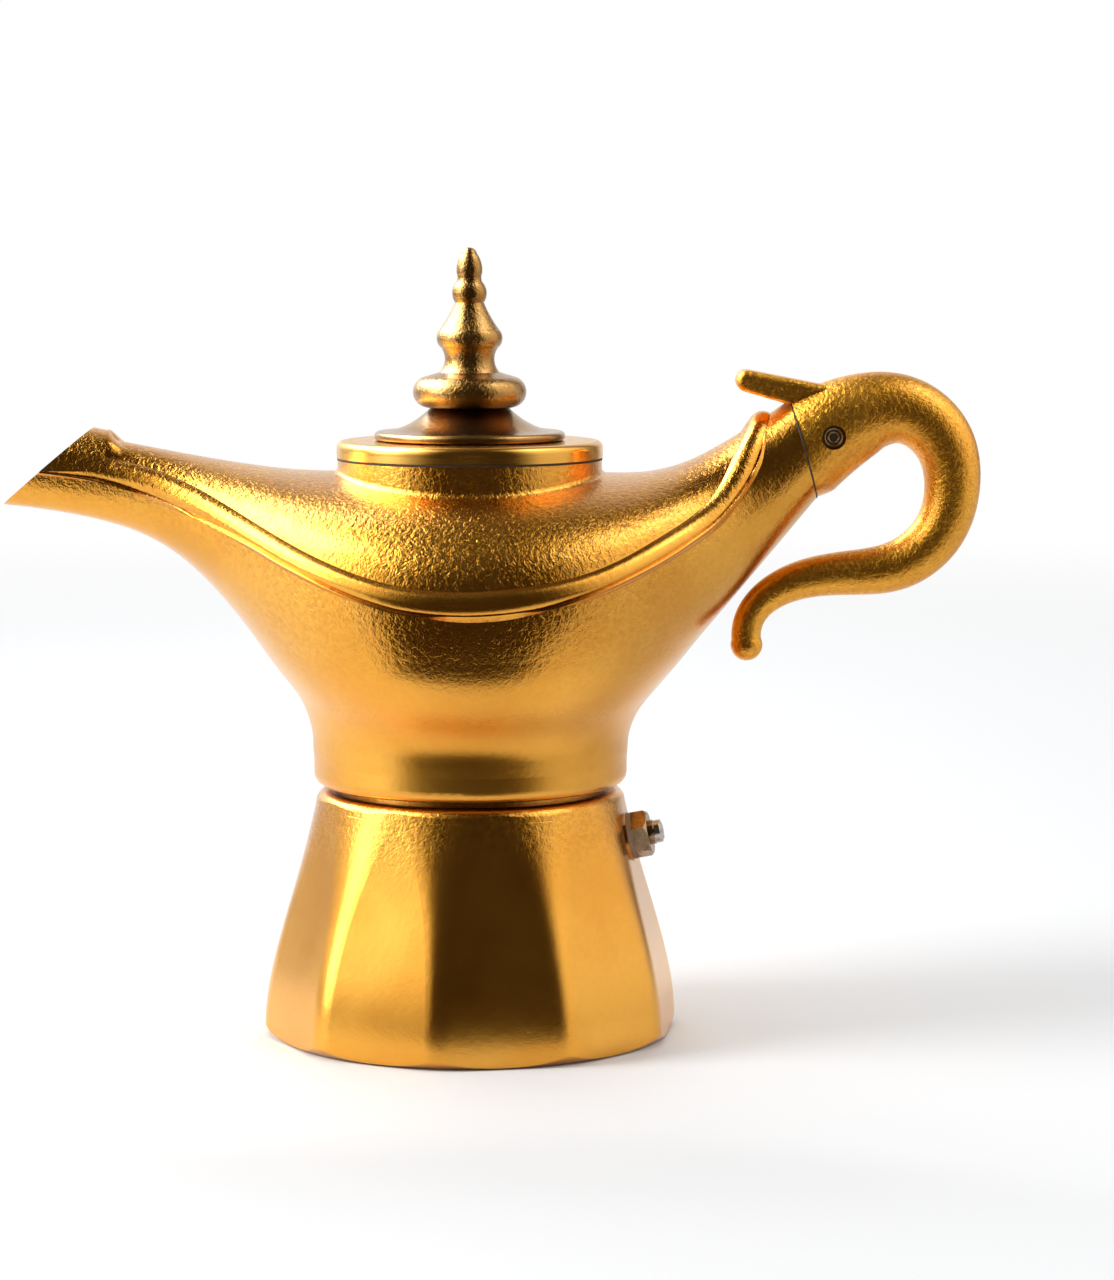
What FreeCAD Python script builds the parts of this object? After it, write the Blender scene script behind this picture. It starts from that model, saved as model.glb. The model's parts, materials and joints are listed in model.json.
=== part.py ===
import FreeCAD, Part
import math
import os

# Lamp-shaped stovetop coffee maker, millimetres. +Z is up, the spout points to -X and the handle to +X.
# The origin is the centre of the boiler's base. The upper pot, lid and handle are drawn above the skirt's
# lower edge and then lifted onto the boiler.

# Boiler
facet_count = 10
foot_apothem = 48.3
shoulder_apothem = 36.6
boiler_height = 59.3
boiler_turn = -8.0
boiler_wall = 3.6
boiler_floor = 4.0
foot_round = 4.6
shoulder_round = 3.4
# Shares of the boiler's height, of its taper, and of the apothem that the corners are rounded by.
boiler_lines = (
    (0.0, 1.0, 0.19),
    (0.13, 0.97, 0.19),
    (0.34, 0.78, 0.22),
    (0.64, 0.38, 0.39),
    (0.84, 0.15, 0.68),
    (1.0, 0.0, 0.93),
)

# Threaded neck and the seal stack on it
neck_radius = 31.7
neck_height = 10.3
neck_wall = 3.5
seam_gap = 1.3
thread_depth = 0.8
thread_clearance = 0.3
flange_thickness = 0.8
flange_margin = 0.7
gasket_thickness = 3.0
gasket_width = 5.6
gasket_clearance = 0.5

# Funnel
basket_clearance = 0.4
basket_depth = 19.0
sheet = 0.8
cone_height = 9.0
tube_radius = 5.5
tube_fit = 0.02
tube_socket = 3.0
tube_standoff = 5.0
screen_hole_radius = 0.75
screen_rings = 4
screen_pitch = 5.2

# Filter plate
plate_thickness = 0.6
plate_clearance = 0.2
plate_recess = 1.8
plate_lip = 0.8

# Upper pot: heights above the skirt's lower edge
skirt_radius = 37.8
skirt_round = 2.8
floor_thickness = 5.0
pot_wall = 2.8
skirt_height = 9.5
apron_width = 7.0
apron_start = 0.2
apron_sink = 1.2
apron_inset = 1.75
apron_shares = (0.0, 0.25, 0.5, 0.75, 1.0)
apron_points = 48
collar_radius = 31.7
collar_wall = 3.1
collar_height = 78.6
# Guide lines along X, drawn for a collar of line_height: keel, deck, and the half width and height of the
# widest line. Their heights follow the collar's.
line_height = 78.6
keel_line = ((-118, 68.0), (-90, 63.8), (-75.8, 58.8), (-61.5, 47.5), (-47, 29.4), (-28, 10.5), (0, 3.5),
             (28, 8.5), (47, 25.9), (82.9, 68.5), (96, 84))
deck_line = ((-118, 88.4), (-82.7, 82.2), (-61, 78.1), (-36, 75.2), (0, 76.7), (36, 74.7), (47, 75.8),
             (57.6, 80.2), (70, 87.8), (96, 103.6))
beam_line = ((-118, 8.0), (-90, 9.4), (-77, 11.8), (-65, 17.2), (-41, 36.6), (-15, 51.6), (15, 51.6),
             (41, 36.6), (62, 19.0), (78, 12.4), (96, 9.6))
ridge_line = ((-118, 78.0), (-90, 76.3), (-75, 73.0), (-62, 68.0), (-43, 58.6), (-15, 49.2), (15, 49.3),
              (43, 57.8), (61, 64.4), (78, 77.9), (96, 93))
hull_fullness = 2.2
spout_fullness = 2.0
section_points = 28
station_step = 9.0
cavity_end = 58.0
well_wall = 4.3
well_depth = 7.0

# Moulded band with its guide line and the shares of its rise over the tail, and the spout lip
band_line = ((-118, 78.6), (-93, 76.8), (-75, 73.1), (-62, 68.0), (-43, 58.6), (-15, 49.2), (15, 49.3),
             (31, 52.7), (43, 57.9), (55, 64.8), (62, 72.0), (66, 79.0))
band_radius = 3.3
band_width = 5.8
tail_band_start = 62.0
tail_band_lean = 0.514
tail_band_shares = (0.3, 0.55, 0.78, 0.93)
mouth_low = (-111.7, 67.5)
mouth_angle = 40.2
lip_step = 2.0
lip_end = -86.3

# Riser
riser_bore = 6.0
riser_fit = 0.02
riser_flange_radius = 8.5
riser_flange = 1.5
riser_top_radius = 4.6
riser_gap = 14.6
riser_wall = 1.6
riser_port = 2.2

# Tail joint and handle
tail_reach = 80.0
tail_line_height = 80.6
tail_angle = 16.1
tenon_height = 13.0
tenon_width = 8.0
tenon_length = 14.0
tenon_clearance = 0.2
# Handle centre line from the middle of the tail's cut, with its thickness at each point.
handle_line = ((0.0, 0.1, 24.2), (12.8, 7.9, 20.0), (24.3, 9.2, 16.4), (32.9, 2.8, 14.8),
               (35.8, -7.6, 13.5), (32.5, -20.2, 12.6), (23.2, -27.9, 12.0), (10.2, -30.0, 10.6),
               (-3.6, -32.8, 8.8), (-11.1, -38.2, 7.5), (-13.4, -47.3, 7.3))
handle_flatness = 0.88
curl_radius = 3.85
tongue_tip = (-13.7, 16.3)
tongue_root = (4.0, 12.0)
tongue_tip_radius = 2.6
tongue_root_radius = 3.4
tongue_round = 1.6
tongue_width = 11.0
rivet_place = (6.6, 3.2)
rivet_radius = 1.6
rivet_bore = 1.0
rivet_head_radius = 2.3
rivet_head = 0.7
rivet_clearance = 0.05
rivet_washer_radius = 2.6
rivet_washer = 0.6
counterbore_radius = 2.9
rivet_seat = 7.4

# Lid
lid_overhang = 0.2
lid_thickness = 4.0
lid_round = 1.7
plug_clearance = 0.3
plug_wall = 2.0
plug_depth = 5.0
dome_radius = 22.9
dome_bead = 2.2
dome_rim = 21.6
dome_flare = ((15.5, 3.5), (12.1, 5.5))
dome_neck = 9.3
dome_height = 7.9
screw_radius = 2.0
screw_clearance = 0.3
screw_reach = 14.0
screw_head_radius = 3.8
screw_head = 2.2
screw_washer_radius = 5.5
screw_washer = 0.8

# Finial: radii and the heights above the dome where they are reached
finial_bun = (13.6, 3.6)
finial_bun_top = (11.2, 7.2)
finial_cove_low = (7.2, 8.4)
finial_neck = (6.0, 10.9)
finial_cove_high = (6.8, 14.2)
finial_bell = (7.9, 16.6)
finial_bell_top = (7.0, 18.7)
finial_waist = (4.98, 21.85)
finial_pinch = (3.45, 25.0)
finial_ball = (4.15, 27.4)
finial_ball_top = (3.1, 29.9)
finial_groove = (2.85, 30.9)
finial_bullet_low = (3.05, 31.9)
finial_bullet = (3.1, 32.9)
finial_shoulder = (1.86, 36.6)
finial_height = 38.1

# Safety valve
valve_drop = 11.3
valve_slope_reach = 2.0
valve_pad_radius = 6.0
valve_pad = 0.4
valve_shank_radius = 4.0
valve_shank_clearance = 0.1
valve_shank_length = 9.0
hex_across = 10.0
hex_thickness = 3.8
valve_washer_radius = 5.6
valve_washer = 1.0
chamber_radius = 2.4
chamber_end = 2.6
valve_inlet_radius = 1.2
valve_rim_radius = 2.95
valve_rim = 1.0
stem_radius = 0.9
stem_clearance = 0.1
poppet_radius = 2.2
poppet_length = 1.2
valve_cap = 1.2
cap_fit = 0.02
button_radius = 2.8
button_thickness = 1.5
button_gap = 0.35
spring_wire = 0.4
spring_turns = 5
spring_clearance = 0.12

up = FreeCAD.Vector(0, 0, 1)
origin = FreeCAD.Vector(0, 0, 0)
rim_height = boiler_height + neck_height
pot_height = boiler_height + seam_gap
flange_top = rim_height + flange_thickness
gasket_top = flange_top + gasket_thickness
neck_bore = neck_radius - neck_wall
thread_bore = neck_radius + thread_depth + thread_clearance
floor_under = gasket_top - pot_height
floor_top = floor_under + floor_thickness
gasket_radius = thread_bore - gasket_clearance
gasket_bore = gasket_radius - gasket_width
plate_radius = gasket_bore - plate_clearance
collar_bore = collar_radius - collar_wall
plug_radius = collar_bore - plug_clearance
lid_radius = collar_radius + lid_overhang
well_radius = skirt_radius - well_wall
riser_height = collar_height - riser_gap
valve_height = boiler_height - valve_drop
lift = collar_height / line_height
tail_point = FreeCAD.Vector(tail_reach, 0, tail_line_height * lift)
rivet_point = tail_point + FreeCAD.Vector(rivet_place[0], 0, rivet_place[1])
tail_normal = FreeCAD.Vector(math.cos(math.radians(tail_angle)), 0, math.sin(math.radians(tail_angle)))
big = 400.0


def ring(radius, height, z=0.0):
    return Part.makeCylinder(radius, height, FreeCAD.Vector(0, 0, z), up)


def tube(outer, inner, height, z=0.0):
    return ring(outer, height, z).cut(ring(inner, height, z))


def turned(edges):
    return Part.Face(Part.Wire(edges)).revolve(origin, up, 360)


def spot(radius, height):
    return FreeCAD.Vector(radius, 0, height)


def line(a, b):
    return Part.LineSegment(spot(*a), spot(*b)).toShape()


def arc(a, middle, b):
    return Part.Arc(spot(*a), spot(*middle), spot(*b)).toShape()


def cap(edge, top):
    drop = top - edge[1]
    radius = (edge[0] ** 2 + drop ** 2) / (2 * drop)
    half = math.atan2(edge[0], radius - drop) / 2
    return arc(edge, (radius * math.sin(half), top - radius * (1 - math.cos(half))), (0, top))


def outline(*points):
    return [line(a, b) for a, b in zip(points, points[1:] + points[:1])]


def smooth(points):
    curve = Part.BSplineCurve()
    curve.interpolate([spot(*point) for point in points])
    return curve


def edges_at(shape, height, reach=0.05):
    boxes = [(edge, edge.BoundBox) for edge in shape.Edges]
    return [edge for edge, box in boxes if abs(box.ZMin - height) < reach and abs(box.ZMax - height) < reach]


def guide(points, scale=1.0):
    curve = smooth(points)

    def value(x):
        low, high = curve.FirstParameter, curve.LastParameter
        for step in range(40):
            middle = (low + high) / 2
            if curve.value(middle).x < x:
                low = middle
            else:
                high = middle
        return curve.value(low).z * scale

    return value


keel = guide(keel_line, lift)
deck = guide(deck_line, lift)
beam = guide(beam_line)
ridge = guide(ridge_line, lift)
band_height = guide(band_line, lift)


def boiler_apothem(share):
    return shoulder_apothem + (foot_apothem - shoulder_apothem) * share


def rounded_polygon(apothem, corner, height):
    half = math.pi / facet_count
    reach = (apothem - corner) / math.cos(half)
    edges = []
    for facet in range(facet_count):
        normal = math.radians(boiler_turn) + 2 * half * facet
        before = FreeCAD.Vector(math.cos(normal - half), math.sin(normal - half), 0) * reach
        after = FreeCAD.Vector(math.cos(normal + half), math.sin(normal + half), 0) * reach
        facing = FreeCAD.Vector(math.cos(normal), math.sin(normal), 0) * corner
        turning = FreeCAD.Vector(math.cos(normal + half), math.sin(normal + half), 0) * corner
        leaving = FreeCAD.Vector(math.cos(normal + 2 * half), math.sin(normal + 2 * half), 0) * corner
        level = up * height
        edges.append(Part.LineSegment(before + facing + level, after + facing + level).toShape())
        corner_arc = Part.Arc(after + facing + level, after + turning + level, after + leaving + level)
        edges.append(corner_arc.toShape())
    return Part.Wire(edges)


def boiler_envelope():
    widest = foot_apothem / math.cos(math.pi / facet_count)
    top = shoulder_apothem + shoulder_round / 4
    slant = math.sqrt(0.5)
    foot = arc((widest - foot_round, 0), (widest - foot_round * (1 - slant), foot_round * (1 - slant)),
               (widest, foot_round))
    side = line((widest, foot_round), (widest, boiler_height / 2))
    cone = line((widest, boiler_height / 2), (top, boiler_height - shoulder_round))
    brow = arc((top, boiler_height - shoulder_round),
               (top - shoulder_round * (1 - slant), boiler_height - shoulder_round * (1 - slant)),
               (top - shoulder_round, boiler_height))
    roof = line((top - shoulder_round, boiler_height), (0, boiler_height))
    axis = line((0, boiler_height), (0, 0))
    base = line((0, 0), (widest - foot_round, 0))
    return turned([foot, side, cone, brow, roof, axis, base])


def boiler_outside():
    wires = [rounded_polygon(boiler_apothem(taper), boiler_apothem(taper) * corner, boiler_height * height)
             for height, taper, corner in boiler_lines]
    return Part.makeLoft(wires, True, False).common(boiler_envelope())


def valve_frame(outside):
    direction = FreeCAD.Vector(math.cos(math.radians(boiler_turn)), math.sin(math.radians(boiler_turn)), 0)

    def skin(height):
        ray = Part.makeLine(up * height, up * height + direction * big)
        return max(vertex.Point.dot(direction) for vertex in ray.common(outside).Vertexes)

    below = skin(valve_height - valve_slope_reach)
    above = skin(valve_height + valve_slope_reach)
    slope = (below - above) / (2 * valve_slope_reach)
    axis = (direction + up * slope).normalize()
    seat = direction * skin(valve_height) + up * valve_height + axis * valve_pad
    return seat, axis


def boiler(outside, seat, axis):
    inside = [(boiler_apothem(taper) - boiler_wall, max(boiler_floor, boiler_height * height))
              for height, taper, corner in boiler_lines[:-1]]
    side = smooth(inside[1:]).toShape()
    last = inside[-1]
    foot = (inside[1][0] - foot_round, boiler_floor)
    roof = (neck_bore, boiler_height - boiler_wall / 2)
    hollow = turned([line((0, boiler_floor), foot), line(foot, inside[1]), side, line(last, roof),
                     line(roof, (neck_bore, rim_height)), line((neck_bore, rim_height), (0, rim_height)),
                     line((0, rim_height), (0, boiler_floor))])
    pad_length = boiler_wall + valve_pad
    pad = Part.makeCylinder(valve_pad_radius, pad_length, seat - axis * pad_length, axis)
    drill = Part.makeCylinder(valve_shank_radius + valve_shank_clearance, 4 * boiler_wall,
                              seat - axis * 3 * boiler_wall, axis)
    neck = ring(neck_radius, neck_height + boiler_wall, boiler_height - boiler_wall)
    return outside.fuse([neck, pad]).cut(hollow).cut(drill).removeSplitter()


def along(shape, seat, axis):
    turn = FreeCAD.Rotation(up, axis)
    shape.Placement = FreeCAD.Placement(seat, turn).multiply(shape.Placement)
    return shape


def valve_washer_ring():
    return tube(valve_washer_radius, valve_shank_radius + valve_shank_clearance, valve_washer)


def valve_body():
    bottom = valve_washer - valve_shank_length
    corner = hex_across / math.sqrt(3)
    points = [FreeCAD.Vector(corner * math.cos(math.radians(60 * k)), corner * math.sin(math.radians(60 * k)),
                             valve_washer) for k in range(7)]
    hexagon = Part.Face(Part.makePolygon(points)).extrude(up * hex_thickness)
    top = valve_washer + hex_thickness
    crown = ring(corner, hex_thickness, valve_washer)
    crown = crown.makeChamfer(corner - hex_across / 2, edges_at(crown, top))
    body = hexagon.common(crown)
    shank = ring(valve_shank_radius, valve_shank_length, bottom)
    body = body.fuse([shank, ring(valve_rim_radius, valve_rim, top)])
    chamber = ring(chamber_radius, big, bottom + chamber_end)
    inlet = ring(valve_inlet_radius, chamber_end, bottom)
    return body.cut(chamber.fuse(inlet)).removeSplitter()


def valve_levels():
    bottom = valve_washer - valve_shank_length
    poppet_low = bottom + chamber_end
    rim_top = valve_washer + hex_thickness + valve_rim
    return poppet_low, rim_top - valve_cap, rim_top


def valve_stem():
    poppet_low, cap_low, rim_top = valve_levels()
    rod_top = rim_top + button_gap + button_thickness
    return ring(poppet_radius, poppet_length, poppet_low).fuse(
        ring(stem_radius, rod_top - poppet_low - sheet, poppet_low)).removeSplitter()


def valve_cap_ring():
    poppet_low, cap_low, rim_top = valve_levels()
    return tube(chamber_radius - cap_fit, stem_radius + stem_clearance, valve_cap, cap_low)


def valve_button():
    rim_top = valve_levels()[2]
    low = rim_top + button_gap
    button = ring(button_radius, button_thickness, low)
    button = button.makeFillet(button_thickness / 4, edges_at(button, low + button_thickness))
    return button.cut(ring(stem_radius, button_thickness - sheet + button_gap, low - button_gap))


def valve_spring():
    poppet_low, cap_low, rim_top = valve_levels()
    low = poppet_low + poppet_length + spring_wire / 2 + spring_clearance
    high = cap_low - spring_wire / 2 - spring_clearance
    radius = chamber_radius - spring_wire / 2 - spring_clearance * 2
    coil = Part.makeHelix((high - low) / spring_turns, high - low, radius)
    coil.translate(up * low)
    wire = Part.Wire([Part.makeCircle(spring_wire / 2, spot(radius, low), FreeCAD.Vector(0, 1, 0))])
    return Part.Wire(coil.Edges).makePipeShell([wire], True, True)


def funnel_throat():
    return rim_height - basket_depth - cone_height


def funnel():
    outer = neck_bore - basket_clearance
    flange = neck_radius - flange_margin
    low = rim_height - basket_depth
    throat = funnel_throat()
    inner = outer - sheet
    ledge = inner - 2 * sheet
    bore = tube_radius + tube_fit
    socket = bore + sheet
    end = throat - tube_socket
    skin = outline((inner, flange_top), (flange, flange_top), (flange, rim_height), (outer, rim_height),
                   (outer, low), (socket, throat), (socket, end), (bore, end),
                   (bore, throat + sheet / 2), (ledge, low + sheet / 2), (ledge, low + sheet),
                   (inner, low + sheet))
    return turned(skin)


def funnel_tube():
    low = boiler_floor + tube_standoff
    return tube(tube_radius, tube_radius - sheet, funnel_throat() - low, low)


def holes(thickness, z):
    drills = [ring(screen_hole_radius, thickness, z)]
    for level in range(1, screen_rings + 1):
        count = 6 * level
        for k in range(count):
            angle = 2 * math.pi * k / count
            place = FreeCAD.Vector(math.cos(angle), math.sin(angle), 0) * (screen_pitch * level)
            drills.append(ring(screen_hole_radius, thickness, z).translated(place))
    return Part.makeCompound(drills)


def funnel_screen():
    z = rim_height - basket_depth + sheet
    radius = neck_bore - basket_clearance - sheet - plate_clearance
    return ring(radius, sheet, z).cut(holes(sheet, z))


def gasket():
    return tube(gasket_radius, gasket_bore, gasket_thickness, flange_top)


def filter_plate():
    low = gasket_top - plate_recess - plate_thickness
    plate = ring(plate_radius, plate_thickness, low).cut(holes(plate_thickness, low))
    lip = tube(plate_radius, plate_radius - plate_lip, plate_recess, low + plate_thickness)
    return plate.fuse(lip).removeSplitter()


def fullness(x):
    return hull_fullness + (spout_fullness - hull_fullness) * min(1.0, abs(x / mouth_low[0]) ** 2)


def section(x, grow=0.0):
    width = beam(x) + grow
    middle = ridge(x)
    slope = (keel(x + 1) - keel(x - 1)) / 2
    rise = deck(x) + grow - middle
    drop = middle - keel(x) + grow * math.hypot(1, slope)
    points = []
    for k in range(section_points):
        angle = 2 * math.pi * k / section_points
        c = math.cos(angle)
        s = math.sin(angle)
        power = 2 / (spout_fullness if s > 0 else fullness(x))
        y = math.copysign(abs(c) ** power, c) * width
        z = middle + math.copysign(abs(s) ** power, s) * (rise if s > 0 else drop)
        points.append(FreeCAD.Vector(x, y, z))
    curve = Part.BSplineCurve()
    curve.interpolate(points, PeriodicFlag=True)
    return Part.Wire([curve.toShape()])


def hull(start, end, grow=0.0):
    count = max(2, round((end - start) / station_step))
    stations = [start + (end - start) * k / count for k in range(count + 1)]
    return Part.makeLoft([section(x, grow) for x in stations], True, False)


def half_space(point, normal):
    wall = Part.makeBox(big, big, big, FreeCAD.Vector(-big / 2, -big / 2, 0))
    return along(wall, point, normal)


def beyond_mouth():
    angle = math.radians(mouth_angle)
    normal = FreeCAD.Vector(-math.sin(angle), 0, math.cos(angle))
    return half_space(spot(mouth_low[0], mouth_low[1] * lift), normal)


def beyond_tail():
    return half_space(tail_point, tail_normal)


def on_hull(x, z, sink):
    rise = (z - ridge(x)) / ((deck(x) if z > ridge(x) else keel(x)) - ridge(x))
    power = spout_fullness if z > ridge(x) else fullness(x)
    share = max(0.0, 1 - min(1.0, rise) ** power) ** (1 / power)
    return FreeCAD.Vector(x, share * (beam(x) - sink), z - sink * rise)


def oval(centre, direction, reference, half_along, half_across):
    across = reference.cross(direction).normalize()
    thick = direction.cross(across).normalize()
    curve = Part.Circle(origin, up, half_along)
    if half_across < half_along:
        curve = Part.Ellipse(origin, half_along, half_across)
    ring_wire = Part.Wire([curve.toShape()])
    ring_wire.Placement = FreeCAD.Placement(centre, FreeCAD.Rotation(thick, across, direction, "ZXY"))
    return ring_wire


def band():
    sink = math.sqrt(band_radius ** 2 - (band_width / 2) ** 2)
    start, stop = keel_line[0][0] + band_width, tail_band_start
    count = round((stop - start) / station_step)
    side = []
    for k in range(count + 1):
        x = start + (stop - start) * k / count
        side.append(on_hull(x, band_height(x), sink))
    low = band_height(tail_band_start)
    crown = low
    for step in range(20):
        crown = deck(tail_band_start + tail_band_lean * (crown - low))
    for share in tail_band_shares:
        z = low + (crown - low) * share
        side.append(on_hull(tail_band_start + tail_band_lean * (z - low), z, sink))
    top = FreeCAD.Vector(tail_band_start + tail_band_lean * (crown - low), 0, crown - sink)
    other = [FreeCAD.Vector(p.x, -p.y, p.z) for p in reversed(side)]
    path = Part.BSplineCurve()
    path.interpolate(side + [top] + other)
    rings = []
    turns = 2 * len(side) - 2
    for k in range(turns + 1):
        u = path.FirstParameter + (path.LastParameter - path.FirstParameter) * k / turns
        rings.append(oval(path.value(u), path.tangent(u)[0], up, band_radius, band_radius))
    return Part.makeLoft(rings, True, False)


def spout_lip():
    cap = hull(keel_line[0][0], lip_end, lip_step)
    low = Part.makeBox(big, big, big, FreeCAD.Vector(-big, -big / 2, band_height(lip_end) - big))
    return cap.cut(low)


def underside(angle, radius):
    x = radius * math.cos(angle)
    y = abs(radius * math.sin(angle))
    power = fullness(x)
    return ridge(x) - (ridge(x) - keel(x)) * (1 - (y / beam(x)) ** power) ** (1 / power)


def apron():
    def loop(place):
        points = []
        for k in range(apron_points):
            angle = 2 * math.pi * (k + 0.5) / apron_points
            radius, height = place(angle)
            points.append(FreeCAD.Vector(radius * math.cos(angle), radius * math.sin(angle), height))
        curve = Part.BSplineCurve()
        curve.interpolate(points, PeriodicFlag=True)
        return Part.Wire([curve.toShape()])

    def blend(share):
        def place(angle):
            corner = underside(angle, skirt_radius)
            far = underside(angle, skirt_radius + apron_width)
            height = (1 - share) ** 2 * skirt_height + 2 * share * (1 - share) * corner + share ** 2 * far
            radius = skirt_radius - apron_start * (1 - share) ** 2 + apron_width * share ** 2
            return radius, height + apron_sink * share ** 4
        return place

    def inner(angle):
        far = skirt_radius + apron_width
        return far - apron_inset, underside(angle, far) + apron_width

    loops = [loop(blend(share)) for share in apron_shares]
    loops.append(loop(inner))
    loops.append(loop(lambda angle: (skirt_radius, ridge(0) - pot_wall)))
    return Part.makeLoft(loops, True, False)


def collector():
    shell = hull(keel_line[0][0], keel_line[-1][0]).cut(beyond_tail())
    skirt = ring(skirt_radius, floor_top)
    skirt = skirt.makeFillet(skirt_round, edges_at(skirt, 0.0))
    collar = ring(collar_radius, collar_height - ridge(0), ridge(0))
    pot = shell.fuse(apron()).fuse(skirt).fuse(collar).fuse(band()).fuse(spout_lip()).cut(beyond_mouth())
    hollow = hull(keel_line[0][0], cavity_end, -pot_wall)
    hollow = hollow.cut(ring(big, floor_top + big, -big))
    well = ring(well_radius, well_depth, floor_top)
    mouth = ring(collar_bore, collar_height - ridge(0), ridge(0))
    socket = ring(thread_bore, floor_under)
    dish = Part.makeCone(plate_radius - plate_lip, riser_bore, floor_thickness / 2, up * floor_under, up)
    bore = ring(riser_bore + riser_fit, floor_thickness, floor_under)
    pot = pot.cut(hollow.fuse(well)).cut(mouth).cut(socket).cut(dish).cut(bore)
    return pot.fuse(tenon(0.0)).cut(rivet_hole(rivet_radius + rivet_clearance))


def tail_frame(shape):
    turn = FreeCAD.Rotation(FreeCAD.Vector(0, 1, 0), -tail_angle)
    shape.Placement = FreeCAD.Placement(tail_point, turn).multiply(shape.Placement)
    return shape


def tenon(grow):
    root = 0.0 if grow else -pot_wall
    block = Part.makeBox(tenon_length + grow - root, tenon_width + 2 * grow, tenon_height + 2 * grow,
                         FreeCAD.Vector(root, -tenon_width / 2 - grow, -tenon_height / 2 - grow))
    return tail_frame(block)


def crosswise(radius, half_length):
    start = rivet_point - FreeCAD.Vector(0, half_length, 0)
    return Part.makeCylinder(radius, 2 * half_length, start, FreeCAD.Vector(0, 1, 0))


def rivet_hole(radius):
    return crosswise(radius, big)


def handle():
    path = Part.BSplineCurve()
    places = [tail_point + spot(x, z) for x, z, size in handle_line]
    path.interpolate(places)
    sizes = guide([(path.parameter(place), mark[2]) for place, mark in zip(places, handle_line)])
    rings = [handle_ring(tail_point - tail_normal * curl_radius, tail_normal, handle_line[0][2])]
    count = 3 * len(handle_line)
    for k in range(count + 1):
        u = path.FirstParameter + (path.LastParameter - path.FirstParameter) * k / count
        rings.append(handle_ring(path.value(u), path.tangent(u)[0], sizes(u)))
    arm = Part.makeLoft(rings, True, False)
    side = 2 * handle_line[0][2]
    before = Part.makeBox(side, side, side, FreeCAD.Vector(-side / 2, -side / 2, 0))
    arm = arm.cut(along(before, tail_point, tail_normal * -1))
    curl = Part.makeSphere(curl_radius, path.value(path.LastParameter))
    arm = arm.fuse(curl).fuse(tongue())
    arm = arm.cut(tenon(tenon_clearance)).cut(rivet_hole(rivet_radius + rivet_clearance))
    for side in (-1, 1):
        pocket = crosswise(counterbore_radius, big / 2).translated(
            FreeCAD.Vector(0, side * (rivet_seat + big / 2), 0))
        arm = arm.cut(pocket)
    return arm


def handle_ring(centre, direction, size):
    flat = handle_flatness + (1 - handle_flatness) * min(1.0, curl_radius * 4 / size)
    return oval(centre, direction, FreeCAD.Vector(direction.z, 0, -direction.x), size / 2, size / 2 * flat)


def tongue():
    tip = tail_point + spot(*tongue_tip)
    root = tail_point + spot(*tongue_root)
    run = (root - tip).normalize()
    side = FreeCAD.Vector(-run.z, 0, run.x)
    a = tip + side * tongue_tip_radius
    b = tip - side * tongue_tip_radius
    c = root - side * tongue_root_radius
    d = root + side * tongue_root_radius
    nose = tip - run * tongue_tip_radius
    edges = [Part.Arc(a, nose, b).toShape(), Part.LineSegment(b, c).toShape(),
             Part.LineSegment(c, d).toShape(), Part.LineSegment(d, a).toShape()]
    across = FreeCAD.Vector(0, tongue_width, 0)
    blade = Part.Face(Part.Wire(edges)).extrude(across).translated(across * -0.5)
    sides = [edge for edge in blade.Edges if edge.BoundBox.YLength < tongue_round
             and edge.BoundBox.XMin < root.x - tongue_root_radius]
    return blade.makeFillet(tongue_round, sides)


def rivet():
    half = rivet_seat + rivet_washer
    body = crosswise(rivet_radius, half + rivet_head)
    head = crosswise(rivet_head_radius, half + rivet_head).cut(crosswise(rivet_head_radius, half))
    return body.fuse(head).cut(rivet_hole(rivet_bore)).removeSplitter()


def rivet_washers():
    outside = crosswise(rivet_washer_radius, rivet_seat + rivet_washer)
    between = crosswise(rivet_washer_radius, rivet_seat)
    return outside.cut(between).cut(rivet_hole(rivet_radius + rivet_clearance))


def riser():
    bottom = floor_under + floor_thickness / 2
    flange_low = floor_top
    flange_high = flange_low + riser_flange
    foot = (riser_bore + riser_fit, flange_high + riser_flange)
    brow = riser_height - riser_top_radius
    slant = math.sqrt(0.5)
    crown = arc((riser_top_radius, brow), (riser_top_radius * slant, brow + riser_top_radius * slant),
                (0, riser_height))
    shape = turned([line((0, bottom), (riser_bore, bottom)),
                    line((riser_bore, bottom), (riser_bore, flange_low)),
                    line((riser_bore, flange_low), (riser_flange_radius, flange_low)),
                    line((riser_flange_radius, flange_low), (riser_flange_radius, flange_high)),
                    line((riser_flange_radius, flange_high), foot),
                    line(foot, (riser_top_radius, brow)), crown,
                    line((0, riser_height), (0, bottom))])
    well = ring(riser_top_radius - riser_wall, brow - bottom, bottom)
    port = Part.makeCylinder(riser_port, big, FreeCAD.Vector(0, -big / 2, brow - riser_top_radius),
                             FreeCAD.Vector(0, 1, 0))
    return shape.cut(well).cut(port)


def lid_disc():
    low = collar_height
    disc = ring(lid_radius, lid_thickness, low)
    disc = disc.makeFillet(lid_round, edges_at(disc, low + lid_thickness))
    plug = tube(plug_radius, plug_radius - plug_wall, plug_depth, low - plug_depth)
    return disc.fuse(plug).cut(ring(screw_radius + screw_clearance, lid_thickness, low)).removeSplitter()


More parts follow.
